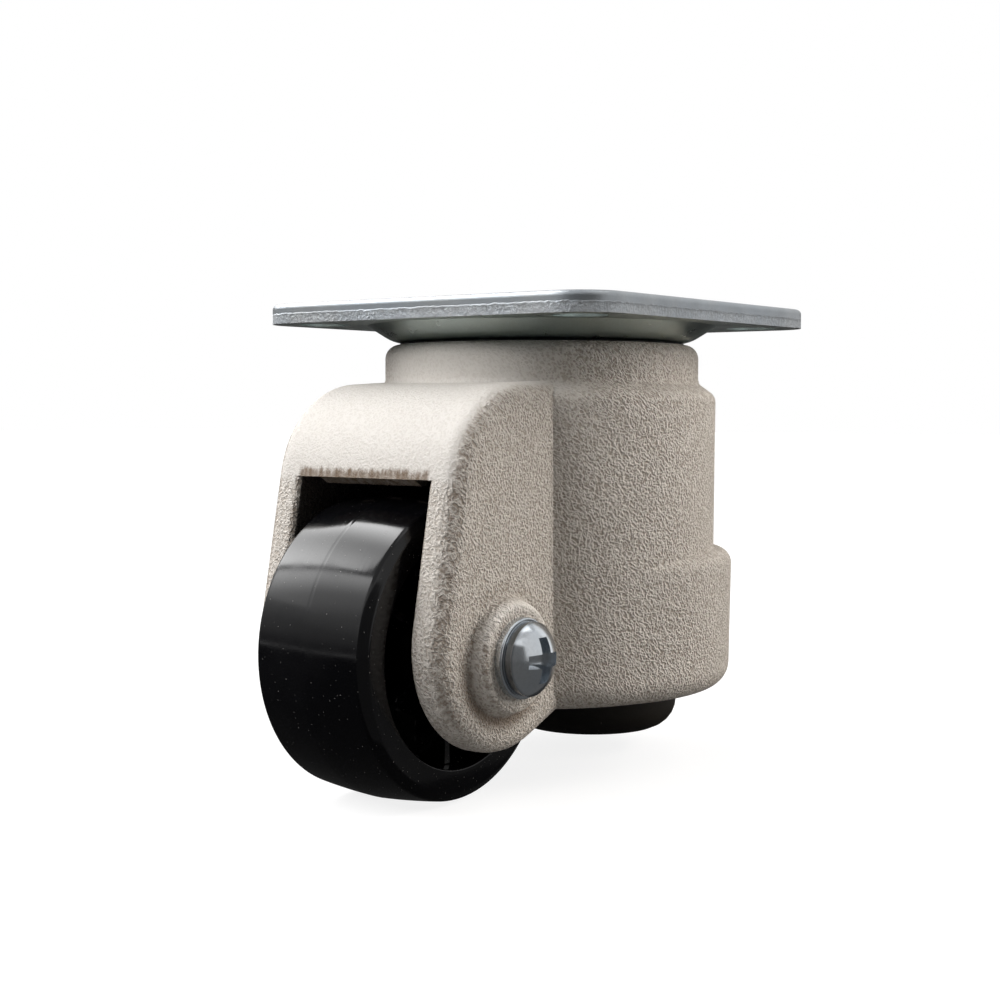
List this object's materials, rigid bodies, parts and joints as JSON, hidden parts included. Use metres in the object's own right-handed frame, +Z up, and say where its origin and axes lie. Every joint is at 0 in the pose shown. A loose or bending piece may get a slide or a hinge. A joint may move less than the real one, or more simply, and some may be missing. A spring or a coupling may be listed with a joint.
{
  "type": "levelling castor",
  "caption": "Plate-mounted swivel castor with a black plastic wheel in a cast hood and a rubber levelling foot wound down by a thumbwheel behind the swivel axis.",
  "frame": {"origin": "centre of the mounting plate's top face, on the swivel axis", "axes": "+Z up through the plate, +X along the wheel's axle, wheel towards -Y and levelling foot towards +Y"},
  "size_m": [0.058, 0.0785, 0.0656],
  "materials": {
    "zinc_steel": "zinc plated, satin",
    "bearing_steel": "polished",
    "screw_zinc": "bright zinc plated",
    "housing_paint": "light grey-beige wrinkle paint on cast aluminium",
    "seal_rubber": "matt black",
    "pad_rubber": "matt black",
    "wheel_plastic": "glossy black",
    "dial_plastic": "matt black",
    "bush_plastic": "natural nylon",
    "brass": "turned"
  },
  "bodies": {
    "plate": {"mounting_plate": "zinc_steel"},
    "swivel": {"housing": "housing_paint", "king_pin": "zinc_steel", "pin_cap": "zinc_steel", "race_ring": "bearing_steel", "dust_seal": "seal_rubber", "thread_insert": "brass", "axle_sleeve": "zinc_steel", "screw_right": "screw_zinc", "screw_left": "screw_zinc", "washer_right": "screw_zinc", "washer_left": "screw_zinc"},
    "lower_ball_row": {"lower_balls": "bearing_steel"},
    "upper_ball_row": {"upper_balls": "bearing_steel"},
    "wheel": {"wheel": "wheel_plastic", "bush_right": "bush_plastic", "bush_left": "bush_plastic"},
    "foot": {"foot_cup": "zinc_steel", "foot_clip": "zinc_steel", "foot_pad": "pad_rubber"},
    "dial": {"thumbwheel": "dial_plastic", "spindle": "zinc_steel", "dial_pin": "zinc_steel"}
  },
  "joints": [
    {"name": "swivel_turn", "type": "hinge", "parent": "plate", "child": "swivel", "pos_m": [0, 0, 0], "axis": [0, 0, 1], "continuous": true},
    {"name": "lower_ball_roll", "type": "hinge", "parent": "plate", "child": "lower_ball_row", "pos_m": [0, 0, 0], "axis": [0, 0, 1], "continuous": true},
    {"name": "upper_ball_roll", "type": "hinge", "parent": "plate", "child": "upper_ball_row", "pos_m": [0, 0, 0], "axis": [0, 0, 1], "continuous": true},
    {"name": "wheel_spin", "type": "hinge", "parent": "swivel", "child": "wheel", "pos_m": [0, -0.0295, -0.0456], "axis": [1, 0, 0], "continuous": true},
    {"name": "foot_lift", "type": "slide", "parent": "swivel", "child": "foot", "axis": [0, 0, -1], "range_m": [0, 0.009]},
    {"name": "thumbwheel_turn", "type": "hinge", "parent": "foot", "child": "dial", "pos_m": [0, 0.0127, -0.042], "axis": [0, 0, -1], "range_deg": [0, 2592]}
  ],
  "couplings": [
    {"joint": "lower_ball_roll", "follows": "swivel_turn", "ratio": 0.5},
    {"joint": "upper_ball_roll", "follows": "swivel_turn", "ratio": 0.5},
    {"joint": "thumbwheel_turn", "follows": "foot_lift", "rad_per_m": 5026.5}
  ]
}
